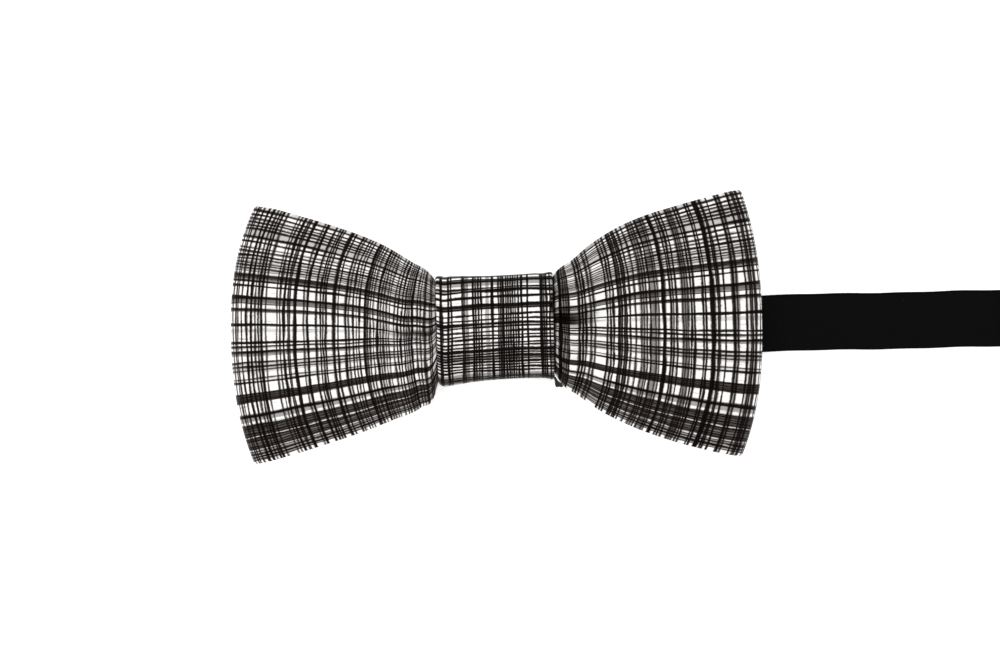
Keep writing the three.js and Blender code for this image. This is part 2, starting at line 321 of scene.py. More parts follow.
def checked_cotton(name, along_lines, right_lines, left_lines=None):
    """Smooth shirting with a check drawn on it in black ink, and painted shade in its pleats beside the
    knot.
    """
    made = Finish(name, "checked_cotton", Specular_IOR_Level=0.025)
    along, across = made.along_and_across()
    slow = made.noise(made.place(along * 1.1, across * 0.1), 1.0, 1)
    slow_too = made.noise(made.place(along * 0.1, across * 1.1, 7.0), 1.0, 1)
    fine = made.noise(made.place(along, across, 3.0), 1.7, 2)
    drawn_along = along + (slow - 0.5) * 0.8 + (fine - 0.5) * 0.22
    drawn_across = across + (slow_too - 0.5) * 0.8 + (fine - 0.5) * 0.22
    bare_along = bare_between(made, drawn_across, along_lines)
    if left_lines:
        out = abs(drawn_along)
        right = bare_between(made, out, right_lines)
        left = bare_between(made, out, left_lines)
        on_right = along > 0.0
        bare_across = right * on_right + left * (1 - on_right)
    else:
        bare_across = bare_between(made, drawn_along, right_lines)
    # The pen runs dry in places, along each line.
    dry_along = made.noise(made.place(along * 0.5, across * 5.0), 1.0, 3).between(0.3, 0.62)
    dry_across = made.noise(made.place(along * 5.0, across * 0.5, 9.0), 1.0, 3).between(0.3, 0.62)
    bare_along = 1 - (1 - bare_along) * (0.9 + 0.1 * dry_along)
    bare_across = 1 - (1 - bare_across) * (0.9 + 0.1 * dry_across)
    # Thin ink washed between the lines, in streaks.
    wash_place = made.place(along * 0.25, across * 1.6, 21.0)
    wash = made.noise(wash_place, 1.0, 3).between(0.56, 0.8)
    bare = bare_along * bare_across * (1 - 0.3 * wash)
    if left_lines:
        # Painted shade: the pleats beside the knot are darkened in the cloth's colour, deeply on the long
        # band's side and more softly on the other.
        painted_pleat_shade = (24.0 - along).between(0, 8) * on_right
        painted_pleat_shade = painted_pleat_shade * (across - 21.5).between(0, 4.5) * (30.2 - across).between(0, 0.6)
        painted_soft_pleat_shade = (27 - out).between(0, 12) * (1 - on_right)
        painted_soft_pleat_shade = painted_soft_pleat_shade * (across - 24.5).between(0, 3) * (30.8 - across).between(0, 1.5)
        bare = bare * (1 - 0.86 * painted_pleat_shade) * (1 - 0.5 * painted_soft_pleat_shade)
    threads = made.noise(made.place(along * 3.0, across * 14.0, 5.0), 1.0, 2)
    ground = made.blend(threads, (0.86, 0.85, 0.83), (0.93, 0.925, 0.91))
    ink = made.blend(fine.between(0.35, 0.7), (0.0004, 0.0003, 0.0003), (0.003, 0.0019, 0.0014))
    drawn = made.blend(bare ** 2.2, ink, ground)
    brown_edge = bare * (1 - bare) * 0.6
    made.feed("Base Color", made.blend(brown_edge, drawn, (0.13, 0.07, 0.05)))
    made.feed("Roughness", 0.36 + 0.14 * bare + 0.1 * (threads - 0.5))
    weft = (along * (2 * math.pi / 0.3)).sine()
    warp = (across * (2 * math.pi / 0.3)).sine()
    puckers = made.noise(made.place(along, across, 11.0), 0.22, 2)
    made.bump(weft * warp * 0.5 + threads * 0.6 + bare * 0.25 + puckers * 9.0, 0.03, 0.8)
    return made


def black_satin():
    """Narrow black ribbon, folded and pressed, with a little lint on it."""
    made = Finish("black_satin", "black_satin", Specular_IOR_Level=0.02)
    along, across = made.along_and_across()
    threads = made.noise(made.place(along * 0.4, across * 9.0), 1.0, 2)
    worn = made.noise(made.place(along * 0.2, across * 0.5, 4.0), 1.0, 3)
    cloth = made.blend(threads, (0.0016, 0.0015, 0.0015), (0.0034, 0.003, 0.003))
    lint = made.noise(made.place(along, across, 8.0), 2.4, 0).between(0.87, 0.92)
    made.feed("Base Color", made.blend(lint * 0.2, cloth, (0.3, 0.29, 0.28)))
    made.feed("Roughness", 0.42 + 0.2 * (worn - 0.5) + 0.12 * (threads - 0.5))
    ribs = (along * (2 * math.pi / 0.45)).sine()
    made.bump(threads * 0.7 + ribs * 0.12 + worn * 3.0, 0.04, 0.7)
    return made


def black_thread():
    made = Finish("black_thread", "black_thread", Specular_IOR_Level=0.2)
    along, around = made.along_and_across()
    twist = (along * 9.0 + around * 6.0).sine()
    fibres = made.noise(made.in_frame(), 6.0, 2)
    shade = made.blend(fibres, (0.006, 0.006, 0.006), (0.03, 0.027, 0.025))
    made.feed("Base Color", shade)
    made.feed("Roughness", 0.62 + 0.2 * (fibres - 0.5))
    made.bump(twist * 0.5 + fibres, 0.05, 0.9)
    return made


def canvas():
    made = Finish("canvas", "canvas")
    along, across = made.along_and_across()
    weft = (along * (2 * math.pi / 0.7)).sine()
    warp = (across * (2 * math.pi / 0.7)).sine()
    slubs = made.noise(made.place(along * 0.6, across * 3.0), 1.0, 3)
    made.feed("Base Color", made.blend(slubs, (0.5, 0.46, 0.37), (0.72, 0.68, 0.6)))
    made.feed("Roughness", 0.85 + 0.2 * (slubs - 0.5))
    made.bump(weft * warp + slubs, 0.08)
    return made


def black_metal():
    """Stamped steel with black enamel, rubbed through in places."""
    made = Finish("black_metal", "black_metal", Coat_Roughness=0.18)
    point = made.in_frame()
    specks = made.noise(point, 1.6, 4)
    brushed = made.noise(point, 7.0, 2)
    rubbed = specks.between(0.62, 0.86)
    enamel = made.blend(brushed, (0.006, 0.006, 0.0065), (0.016, 0.016, 0.017))
    made.feed("Base Color", made.blend(rubbed * 0.4, enamel, (0.3, 0.29, 0.28)))
    made.feed("Metallic", 0.25 + 0.7 * rubbed)
    made.feed("Roughness", 0.3 + 0.16 * (brushed - 0.5) + 0.1 * rubbed)
    made.feed("Coat Weight", 0.5 - 0.4 * rubbed)
    made.bump(brushed * 0.6 - rubbed * 0.8, 0.02, 0.6)
    return made


BOW_CLOTH = checked_cotton("checked_cotton", ALONG_THE_BAND, ACROSS_RIGHT, ACROSS_LEFT)
KNOT_CLOTH = checked_cotton("checked_cotton_knot", KNOT_ALONG, KNOT_ACROSS)
SATIN = black_satin()
THREAD = black_thread()
CANVAS = canvas()
METAL = black_metal()


# ---------------------------------------------------------------- making meshes
def smooth(points, at):
    """A smooth line through (place, height) points, read at other places."""
    x, y = np.array(points, float).T
    slope = np.gradient(y, x)
    i = np.clip(np.searchsorted(x, at) - 1, 0, len(x) - 2)
    wide = x[i + 1] - x[i]
    s = np.clip((at - x[i]) / wide, 0, 1)
    return (
        y[i] * (1 + 2 * s) * (1 - s) ** 2
        + y[i + 1] * s * s * (3 - 2 * s)
        + wide * s * (1 - s) * (slope[i] * (1 - s) - slope[i + 1] * s)
    )


def walked(line):
    steps = np.linalg.norm(np.diff(line, axis=0), axis=1)
    return np.concatenate([[0], np.cumsum(steps)])


def smooth_line(points, step):
    """A smooth line through points, with a new point about every step."""
    points = np.array(points, float)
    along = walked(points)
    fine = np.linspace(0, along[-1], 60 * len(points))
    line = np.array([smooth(np.c_[along, column], fine) for column in points.T]).T
    along = walked(line)
    even = np.linspace(0, along[-1], max(3, round(along[-1] / step) + 1))
    return np.array([np.interp(even, along, column) for column in line.T]).T


def rise(value, low, high):
    """0 below low, 1 above high and smooth between."""
    s = np.clip((value - low) / (high - low), 0, 1)
    return s * s * (3 - 2 * s)


def quads(points, places, ring):
    """Faces over a grid of points whose columns close on themselves, and whose rows do in a ring.
    places has one more column than points, and one more row in a ring."""
    rows, columns = points.shape[:2]
    i, j = np.meshgrid(np.arange(rows if ring else rows - 1), np.arange(columns), indexing="ij")
    corners = [(i, j), (i, j + 1), (i + 1, j + 1), (i + 1, j)]
    faces = np.stack([(a % rows) * columns + b % columns for a, b in corners], -1)
    marks = np.stack([places[a, b] for a, b in corners], -2)
    return faces.reshape(-1, 4), marks.reshape(-1, 4, 2)


def make(name, parts, finish, body=None):
    """One piece from (points, places, ring) grids; a grid that isn't a ring gets flat ends."""
    points, faces, marks, start = [], [], [], 0
    for grid, places, ring in parts:
        rows, columns = grid.shape[:2]
        some, their = quads(grid, places, ring)
        faces += (some + start).tolist()
        marks.append(their.reshape(-1, 2))
        if not ring:
            for row in (0, rows - 1):
                faces.append([start + row * columns + k for k in range(columns)])
                marks.append(places[row, :-1])
        points.append(grid.reshape(-1, 3))
        start += rows * columns
    mesh = bpy.data.meshes.new(name)
    mesh.from_pydata((np.concatenate(points) * MM).tolist(), [], faces)
    layer = mesh.uv_layers.new(name="cloth")
    layer.data.foreach_set("uv", np.concatenate(marks).astype(np.float32).ravel())
    shaped = bmesh.new()
    shaped.from_mesh(mesh)
    bmesh.ops.recalc_face_normals(shaped, faces=shaped.faces)
    shaped.to_mesh(mesh)
    shaped.free()
    mesh.polygons.foreach_set("use_smooth", [len(p.vertices) == 4 for p in mesh.polygons])
    mesh.materials.append(finish.material)
    made = bpy.data.objects.new(name, mesh)
    bpy.context.scene.collection.objects.link(made)
    if body:
        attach(made, body)
    return made


def round_outline(radius, sides=10):
    angle = np.arange(sides) * 2 * math.pi / sides
    return radius * np.c_[np.cos(angle), np.sin(angle)]


def flat_outline(half_width, half_height, corner, steps=4):
    """A rectangle with round corners."""
    points = []
    for k, (a, b) in enumerate([(1, 1), (-1, 1), (-1, -1), (1, -1)]):
        angle = np.linspace(k, k + 1, steps + 1) * math.pi / 2
        middle = (a * (half_width - corner), b * (half_height - corner))
        points.append(np.array(middle) + corner * np.c_[np.cos(angle), np.sin(angle)])
    return np.concatenate(points)


def sweep(line, outline, side, ring=False, shape=None):
    """An outline carried along a line. Its first direction is side, its second is square to it.
    shape gives the outline at a share of the way along, from 0 to 1."""
    line = np.array(line, float)
    if ring:
        ahead = np.roll(line, -1, 0) - np.roll(line, 1, 0)
    else:
        ahead = np.gradient(line, axis=0)
    ahead /= np.linalg.norm(ahead, axis=1, keepdims=True)
    first = side - ahead * (ahead @ side)[:, None]
    first /= np.linalg.norm(first, axis=1, keepdims=True)
    second = np.cross(ahead, first)
    share = np.linspace(0, 1, len(line))
    drawn = [shape(s) if shape else outline for s in share]
    drawn = np.array(drawn)
    points = (
        line[:, None]
        + drawn[..., :1] * first[:, None]
        + drawn[..., 1:] * second[:, None]
    )
    along = walked(np.concatenate([line, line[:1]]) if ring else line)
    around = walked(np.concatenate([drawn[0], drawn[0][:1]]))
    places = np.stack(np.meshgrid(along, around, indexing="ij"), -1)
    return points, places, ring


# ---------------------------------------------------------------- the neck band
def arc(x, z, radius, start, stop, steps=9):
    angle = np.radians(np.linspace(start, stop, steps))
    return [(x + radius * math.cos(a), z + radius * math.sin(a)) for a in angle]


def upright(points):
    """A line drawn in X and Z, as points in the frame."""
    return np.array([(x, 0, z) for x, z in points])


def ribbon_outline():
    """Folded ribbon seen end on: round at its fold, with a pressed crease beside its open edge."""
    outline = flat_outline(STRAP_HALF, STRAP_THICKNESS / 2, 0.34)
    crease = np.array([(6.25, 0.38), (6.0, 0.26), (5.75, 0.38)])
    middle = [(x, 0.4 + 0.03 * math.cos(x / 2)) for x in np.linspace(5, -5.6, 12)]
    return np.concatenate([outline[:5], crease, middle, outline[5:]])


def ribbon(name, points, step=0.8):
    line = smooth_line(points, step)
    length = walked(line)[-1]
    plain = ribbon_outline()
    start = line[0][0]

    def outline(share):
        along = start + share * length
        uneven = 0.07 * np.sin(along / 5.3) + 0.05 * np.sin(along / 2.1 + 1)
        ends = rise(share, 0, 0.04) * rise(1 - share, 0, 0.04)
        return plain + [[ends * uneven, 0]]

    made = make(name, [sweep(upright(line), plain, Y, shape=outline)], SATIN)
    return made, line


def declare_ribbon(exit_place):
    [v * MM for v in exit_place]


UNDER_BAR = SLIDER_X + 6.2  # where the slider's outer bar hides the strap's joins
top_of_loop = BAR_LEVEL + END_LOOP

strap_long, long_line = ribbon("strap_long", [
    (KNOT_EDGE - 0.8, KNOT_STRAP_LEVEL), (15, 2.65), (18, 1.75), (21.5, 0.62), (24, LOWER_LAYER),
    *[(x, LOWER_LAYER) for x in np.linspace(32, SLIDER_X - 11, 11)],
    (SLIDER_X - 9, 0.45), (SLIDER_X - 7.2, 1.2), (SLIDER_X - 5.6, 1.62), (SLIDER_X - 4.4, 2.5),
    (SLIDER_X - 2.6, 4.5), (SLIDER_X - 0.9, 5.2), (SLIDER_X + 0.9, 5.2), (SLIDER_X + 2.6, 4.5),
    (SLIDER_X + 4.4, 2.5), (SLIDER_X + 5.5, 1.62), (UNDER_BAR, UPPER_LAYER),
])
strap_outer, outer_line = ribbon("strap_outer", [
    (UNDER_BAR + 0.1, UPPER_LAYER),
    *[(x, UPPER_LAYER) for x in np.linspace(SLIDER_X + 9, HOOK_X - 8, 14)],
    (HOOK_X - 5.5, 1.75), (HOOK_X - 2, top_of_loop - 0.1),
    *arc(HOOK_X, BAR_LEVEL, END_LOOP, 90, -90), (HOOK_X - 2, LOWER_LAYER),
])
wrap_radius = 1.45
strap_return, return_line = ribbon("strap_return", [
    (HOOK_X - 2.1, LOWER_LAYER),
    *[(x, LOWER_LAYER) for x in np.linspace(HOOK_X - 8, SLIDER_X + 9, 14)],
    (SLIDER_X + 4.6, 0.42), (SLIDER_X + 2.2, 0.95),
    *arc(SLIDER_X - 0.3, SLIDER_LEVEL, wrap_radius, -90, -270),
    (SLIDER_X + 1.0, SLIDER_LEVEL + 1.4), (SLIDER_X + 1.9, SLIDER_LEVEL + 0.75),
])
strap_short, _ = ribbon("strap_short", [
    (KNOT_EDGE - 0.9, KNOT_STRAP_LEVEL), (6, 2.8), (0, 2.8), (-6, 2.8), (-11.5, KNOT_STRAP_LEVEL),
    (-14, 2.2), (-16.2, UPPER_LAYER + 0.05), (-18, 1.6), (-20, 2.1), (EYE_X + 2, top_of_loop - 0.1),
    *arc(EYE_X, BAR_LEVEL, END_LOOP, 90, 270),
    (EYE_X + 2, LOWER_LAYER), (-19, LOWER_LAYER), (-16, LOWER_LAYER),
], 0.5)


# ---------------------------------------------------------------- metal pieces
def rounded_loop(left, right, bottom, top, radius, level):
    """A closed line round a rectangle with round corners."""
    outline = flat_outline((right - left) / 2, (top - bottom) / 2, radius, 6)
    middle = np.array([(left + right) / 2, (bottom + top) / 2])
    points = np.c_[outline + middle, np.full(len(outline), level)]
    closed = np.concatenate([points, points[:1]])
    along = walked(closed)
    even = np.linspace(0, along[-1], 121)[:-1]
    return np.array([np.interp(even, along, column) for column in closed.T]).T


def slider():
    """One stamped frame with a bar across its middle."""
    edge = SLIDER_HIGH[1]
    left, right = SLIDER_LOW[0] + 0.75, SLIDER_HIGH[0] - 0.75
    loop = rounded_loop(left, right, 0.75 - edge, edge - 0.75, 1.2, SLIDER_LEVEL)
    bar = [(SLIDER_X, y, SLIDER_LEVEL) for y in np.linspace(0.7 - edge, edge - 0.7, 25)]
    parts = [
        sweep(loop, flat_outline(0.45, 0.75, 0.28), Z, True),
        sweep(bar, flat_outline(0.6, 0.42, 0.3), X),
    ]
    return make("slider_piece", parts, METAL, "slider")


def end_frame(name, bar_x, way, far_x, body, extra=()):
    """A round end bar, two flat rails and a flat bar at their far end."""
    edge = 7.5
    near, far = sorted((bar_x, far_x))
    loop = rounded_loop(near, far, -edge, edge, 1.0, BAR_LEVEL)
    flat = flat_outline(0.45, 0.6, 0.26)
    bar = [(bar_x, y, BAR_LEVEL) for y in np.linspace(-edge - 0.4, edge + 0.4, 25)]
    parts = [sweep(loop, flat, Z, True), sweep(bar, round_outline(0.55, 16), X), *extra]
    return make(name, parts, METAL, body)


def hook():
    line = smooth_line([
        (HOOK_X + 2.8, BAR_LEVEL), (HOOK_X + 6, BAR_LEVEL), (HOOK_X + 10, BAR_LEVEL - 0.05),
        (HOOK_X + 12.4, BAR_LEVEL), *arc(HOOK_X + 13, BAR_LEVEL + 1.3, 1.3, -60, 60, 7),
        (HOOK_X + 12.2, BAR_LEVEL + 2.6), (HOOK_X + 8.6, BAR_LEVEL + 2.55),
        (HOOK_X + 6.9, BAR_LEVEL + 3.1),
    ], 0.35)

    def outline(share):
        half = 3 - 0.7 * float(rise(share, 0.3, 1)) - 0.8 * float(rise(share, 0.9, 1))
        return flat_outline(half, 0.45, 0.28)

    tongue = sweep(upright(line), outline(0), Y, shape=outline)
    return end_frame("hook_piece", HOOK_X, 1, HOOK_X + 3.3, "hook", [tongue])


def eye():
    return end_frame("eye_piece", EYE_X, -1, EYE_X - 7.85, "eye")


slider_piece, hook_piece, eye_piece = slider(), hook(), eye()


# ---------------------------------------------------------------- the bow
# Half a loop of the bow's band seen from its lower edge: along its back, round its end, and back
# along its face to the middle.
HALF_LOOP = [
    (0, 4.6), (8, 4.6), (12.9, 4.5), (20, 4.25), (26, 3.9), (34, 3.2), (44, 1.95), (52, 1.3),
    (56, 2.0), (59.3, 4.2), (60.2, 7.0), (59.7, 9.5), (56.8, 11.9), (50, 13.1), (36, 13.4),
    (24, 12.8), (16, 11.6), (12.9, 10.7), (8, 10.8), (0, 10.9),
]
# How far the wings' edges are from the bow's middle line, by their place along the bow.
UPPER_RIGHT = [
    (0, 8.2), (10.5, 9.0), (12.2, 10.2), (13.6, 12.4), (17.4, 15.1), (21.9, 18.7), (27.7, 22.2),
    (34, 24.8), (40.9, 26.8), (46.6, 28.3), (52.6, 29.8), (58, 30.9),
]
LOWER_RIGHT = [
    (0, 8.2), (10.5, 8.8), (12.2, 9.2), (13.2, 10.3), (14.2, 12.0), (18.4, 15.3), (22.2, 18.2), (28.8, 21.9),
    (36, 24.9), (43.3, 27.3), (50.5, 29.2), (58, 30.7),
]
UPPER_LEFT = [
    (0, 8.2), (10.5, 9.0), (12.4, 10.3), (14.2, 12.7), (18.5, 15.5), (24.7, 19.3), (30.9, 22.1),
    (37, 24.3), (43.9, 26.5), (48.6, 27.9), (54, 29.2), (58, 29.9),
]
LOWER_LEFT = [
    (0, 8.2), (9.0, 8.9), (11.8, 9.9), (12.9, 11.2), (13.7, 14.2), (17.1, 17.3), (23.5, 19.9), (29.9, 22.3),
    (38.2, 24.9), (47.9, 27.7), (58, 30.2),
]
# How far back each corner of a wing stands from its end: the upper corner, then the lower.
CORNERS = {1: (4.1, 5.1), -1: (5.9, 4.6)}


def half_loop():
    """The half loop's points, how far each is along the cloth, and 1 on its face or 0 on its back."""
    line = smooth_line(HALF_LOOP, 0.75)
    along = walked(line)
    tip = int(np.argmax(line[:, 0]))
    from_tip = np.abs(along - along[tip])
    on_face = np.arange(len(line)) > tip
    flat = line[:, 0] < 58
    turn = from_tip[np.argmax(on_face & flat)]
    out = np.where(on_face & flat, line[:, 0], 58 + turn - from_tip)
    return line, np.maximum(out, 0), on_face.astype(float)


def creases(out, t, way, on_face):
    """How far the cloth lies above its plain loop."""
    near = np.exp(-(np.maximum(out - 13, 0)) / 9)
    rolled = np.where(t < 0, 1.8 if way > 0 else 2.0, 1.5) * np.abs(t) ** 5 * near
    crown = 0.5 * (1 - t**2) * rise(out, 14, 30) * rise(62 - out, 0, 14)
    waves = 0.2 * np.sin(0.21 * out + 2.6 * t + way) + 0.12 * np.sin(0.37 * out - 4.1 * t)
    waves += 0.1 * np.sin(0.63 * out + 5.3 * t + 2 * way)
    waves *= rise(out, 13, 24)
    if way > 0:
        # One deep pleat beside the knot, steep on its lower side, and a shallow one under it.
        deep = (2.0 + 0.6 * rise(out, 12.9, 16)) * rise(25 - out, 0, 8) * rise(out, 11.5, 14.5)
        lip = rise(t, -0.08, 0.03) * rise(0.28 - t, 0, 0.19)
        shallow = 1.3 * np.exp(-(((t - 0.05) / 0.3) ** 2)) * rise(44 - out, 0, 26)
        fold = deep * lip + shallow * rise(out, 14, 20)
    else:
        bend = 0.05 * np.sin(out * 0.55)
        deep = 1.9 * rise(34 - out, 0, 16) * rise(out, 11.5, 15)
        fold = deep * np.exp(-(((t - 0.04 - bend) / 0.095) ** 2))
        fold += 0.5 * np.exp(-(((t + 0.3) / 0.12) ** 2)) * rise(30 - out, 0, 14) * rise(out, 10, 15)
        fold += 1.1 * np.exp(-(((t - 0.02) / 0.33) ** 2)) * rise(46 - out, 0, 26)
    pleats = 0.28 * np.sin(17 * t + way) * rise(28 - out, 0, 14) * rise(np.abs(t), 0.2, 0.5)
    gathers = np.sin(40 * t) * rise(13.2 - out, 0, 1.6)
    face = crown + waves - fold - rolled + pleats + 0.8 * gathers
    back = -0.5 * waves + 0.25 * pleats + 0.55 * gathers
    return on_face * face + (1 - on_face) * back


def eased(z, on_face, reach):
    """Heights for a smooth layer that stays under every fold of a face, or over a back's."""
    near = z * (2 * on_face - 1)
    for gather in (np.min, np.mean):
        padded = np.pad(near, ((0, 0), (reach, reach)), mode="edge")
        windows = np.lib.stride_tricks.sliding_window_view(padded, 2 * reach + 1, axis=1)
        near = gather(windows, axis=-1)
    return near * (2 * on_face - 1)


def bow_ring(t, reach=0):
    """A ring of the bow's cloth as a grid of points and each one's place along and across it.
    With a reach, in columns, it is the smooth layer inside the folds."""
    line, out, on_face = half_loop()
    behind = rise(55 - line[:, 0], 0, 8) * (1 - on_face)
    halves = []
    for way, upper, lower in ((1, UPPER_RIGHT, LOWER_RIGHT), (-1, UPPER_LEFT, LOWER_LEFT)):
        at = line[:, 0]
        curve = (2.1 + 0.8 * rise(out, 16, 36) - 0.5 * (np.minimum(out, 60) / 60) ** 4)[:, None]
        slant = np.tanh((np.minimum(out, 60) / 36) ** 1.3) / 0.96 * rise(out, 10, 22)
        back_up, back_down = (corner * slant for corner in CORNERS[way])
        top, bottom = smooth(upper, at - back_up), smooth(lower, at - back_down)
        less = 0.55 * behind + CLOTH / 2
        middle, half = ((top - bottom) / 2)[:, None], ((top + bottom) / 2 - less)[:, None]
        looser = np.where(t > 0, 0.3, 0.42 if way > 0 else 0.0)
        looser = looser * rise(np.abs(t), 0, 0.5)
        near = np.exp(-np.maximum(at - 13, 0) / 9)[:, None] * rise(at, 6, 12)[:, None]
        pull = 1 + near * looser
        fold_at, gathered = (0.12, 0.035) if way > 0 else (0.04, 0.075)
        aside = t - fold_at
        drawn = gathered * np.tanh(aside / 0.13) * np.exp(-((aside / 0.4) ** 2))
        drawn = drawn * (rise(36 - at, 0, 20) * rise(at, 9, 14))[:, None] * on_face[:, None]
        y = middle + half * (pull * t - (pull - 1) * t**3 - drawn)
        back = np.where(t > 0, back_up[:, None], back_down[:, None])
        x = way * (at[:, None] - back * np.abs(t) ** curve) * (1 + 0.006 * way)
        z = line[:, 1][:, None] + creases(out[:, None], t, way, on_face[:, None])
        if reach:
            z = eased(z, on_face[:, None], reach)
        places = np.stack(
            np.broadcast_arrays(way * out[:, None], CLOTH_WIDTH / 2 * (1 - t)), -1
        )
        halves.append((np.stack([x, y, z], -1), places))
    (right, right_places), (left, left_places) = halves
    points = np.concatenate([right, left[-2:0:-1]])
    places = np.concatenate([right_places, left_places[-2:0:-1], right_places[:1]])
    return points, places


def shell(points, places, thickness, under=None, inside=0.0, rim=5):
    """A layer of cloth under a ring of points: outer face, rounded rim, inner face, other rim.
    under is the smooth ring that the inner face follows where the outer one is pleated."""
    under = points if under is None else under
    around = np.roll(under, -1, 0) - np.roll(under, 1, 0)
    across = np.gradient(under, axis=1)
    out = np.cross(across, around)
    out /= np.linalg.norm(out, axis=2, keepdims=True)
    aside = across / np.linalg.norm(across, axis=2, keepdims=True)
    outer, inner = points - out * inside, under - out * (inside + thickness)
    angle = np.linspace(0, math.pi, rim + 2)[1:-1, None, None]

    def edge(column, way):
        middle = (outer[:, column] + inner[:, column]) / 2
        half = (outer[:, column] - inner[:, column]) / 2
        reach = way * np.linalg.norm(half, axis=1, keepdims=True)
        turned = np.cos(angle) * half + np.sin(angle) * reach * aside[:, column]
        return (middle + turned).transpose(1, 0, 2)

    section = np.concatenate([outer, edge(-1, 1), inner[:, ::-1], edge(0, -1)[:, ::-1]], 1)
    first, last = places[:, :1], places[:, -1:]
    marks = np.concatenate([
        places, np.repeat(last, rim, 1), places[:, ::-1], np.repeat(first, rim, 1), first,
    ], 1)
    return section, marks, True


def bow():
    t = np.linspace(-1, 1, 141)
    points, places = bow_ring(t)
    under, _ = bow_ring(t, 6)
    band = make("bow_cloth", [shell(points, places, CLOTH, under)], BOW_CLOTH, "bow")
    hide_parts("bow_band")
    points, places = bow_ring(t, 12)
    short = slice(15, -15, 2)  # the interlining stops short of the cloth's edges
    layer = shell(points[:, short], places[:, short], 0.5, inside=CLOTH + 2 * GAP)
    lining = make("bow_lining", [layer], CANVAS, "bow")
    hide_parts("bow_interlining")
    return band


# ---------------------------------------------------------------- the knot
KNOT_TOP = [(-12.9, 12.35), (-6, 12.15), (0, 12.1), (6, 12.3), (12.9, 12.75)]
KNOT_BOTTOM = [
    (-12.9, 12.2), (-12.0, 12.75), (-9, 12.4), (-6, 11.95), (0, 11.45), (8, 11.3), (12.9, 11.7),
]


def knot_ring(across):
    """The knot's outer face as a ring round the bow's middle, starting at its back."""
    angle = np.linspace(-math.pi / 2, -5 * math.pi / 2, 241)[:-1, None]
    side, up = np.cos(angle), np.sin(angle)
    side, up = (np.sign(v) * np.abs(v) ** (2 / 5) for v in (side, up))
    x = across[None, :]
    top, bottom = smooth(KNOT_TOP, across), smooth(KNOT_BOTTOM, across)
    middle, half = (top - bottom)[None] / 2, (top + bottom)[None] / 2
    y = middle + half * side
    low, high = 0.0, KNOT_HIGH[2] - 0.25 * (across / KNOT_EDGE)[None] ** 4
    z = (low + high) / 2 + (high - low) / 2 * up
    drawn_in = 0.22 * np.exp(-(((np.abs(x) - 10.9) / 1.1) ** 2)) * np.abs(side)
    y = y - np.sign(side) * drawn_in
    dents = 0.1 * np.sin(0.5 * x + 0.31 * y) + 0.07 * np.sin(0.9 * y + 1) * np.cos(0.33 * x)
    z = z + (dents - 0.1) * rise(up, 0.3, 0.9)
    groove = rise(1.0 - np.abs(y), 0, 0.5) * (up < -0.5) * rise(11.2 - np.abs(x), 0, 0.5)
    z = z + 0.3 * groove
    lapped = 0.08 * rise(y, 0, 0.7) * rise(4 - y, 0, 3) * (up < -0.5)
    z = z + lapped
    return np.stack(np.broadcast_arrays(x, y, z), -1)


def knot():
    across = np.linspace(-KNOT_EDGE + 0.3, KNOT_EDGE - 0.3, 61)
    points = knot_ring(across)
    closed = np.concatenate([points, points[:1]])
    along = np.array([walked(closed[:, k]) for k in range(closed.shape[1])]).T
    face = np.argmax(np.where(points[..., 2] > 10, -np.abs(points[..., 1]), -99), axis=0)
    w = along - along[face, np.arange(len(across))]
    w = 11.8 - np.abs((w + 11.8) % 47.2 - 23.6)
    places = np.stack(np.broadcast_arrays(across[None], w), -1)
    wrap = make("knot_cloth", [shell(points, places, CLOTH)], KNOT_CLOTH, "bow")
    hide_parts("knot_wrap")
    2 * KNOT_EDGE * MM
    narrow = np.linspace(1.2 - KNOT_EDGE, KNOT_EDGE - 1.2, 31)
    points = knot_ring(narrow)
    places = np.stack(np.broadcast_arrays(narrow[None], np.arange(241)[:, None] * 0.35), -1)
    lining = make("knot_lining", [shell(points, places, 0.5, inside=CLOTH + GAP)], CANVAS, "bow")
    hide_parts("knot_interlining")


# ---------------------------------------------------------------- sewing thread
def thread(line, radius=0.17, side=X, step=0.25):
    return sweep(smooth_line(line, step), round_outline(radius, 8), side)


def knot_stitches():
    """Slanting hand stitches that close the knot at its back."""
    parts = []
    for k, x in enumerate(np.linspace(-9.9, 9.3, 17)):
        slip = 0.12 * math.sin(5 * k)
        parts.append(thread([
            (x, -0.95 + slip, 0.62), (x + 0.15, -0.6, 0.34), (x + 0.35, 0, 0.24),
            (x + 0.55, 0.6, 0.34), (x + 0.7, 0.95 + slip, 0.62),
        ], 0.15))
    made = make("knot_stitches", parts, THREAD, "bow")
    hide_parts("knot_seam_thread")


def binding():
    """Thread wound tightly round the gathered middle of the bow."""
    turns, around = 8, 48
    low, high, half = 3.7, 12.1, 9.0
    middle, tall = (low + high) / 2, (high - low) / 2
    line = []
    for k in range(turns * around + 1):
        angle = 2 * math.pi * k / around
        y, z = math.cos(angle), math.sin(angle)
        y, z = (math.copysign(abs(v) ** 0.3, v) for v in (y, z))
        x = -1.95 + 3.9 * k / (turns * around) + 0.05 * math.sin(2.3 * k)
        line.append((x, half * y, middle + tall * z))
    made = make("binding_thread", [thread(line, 0.22, X, 0.5)], THREAD, "bow")
    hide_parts("pinch_thread")


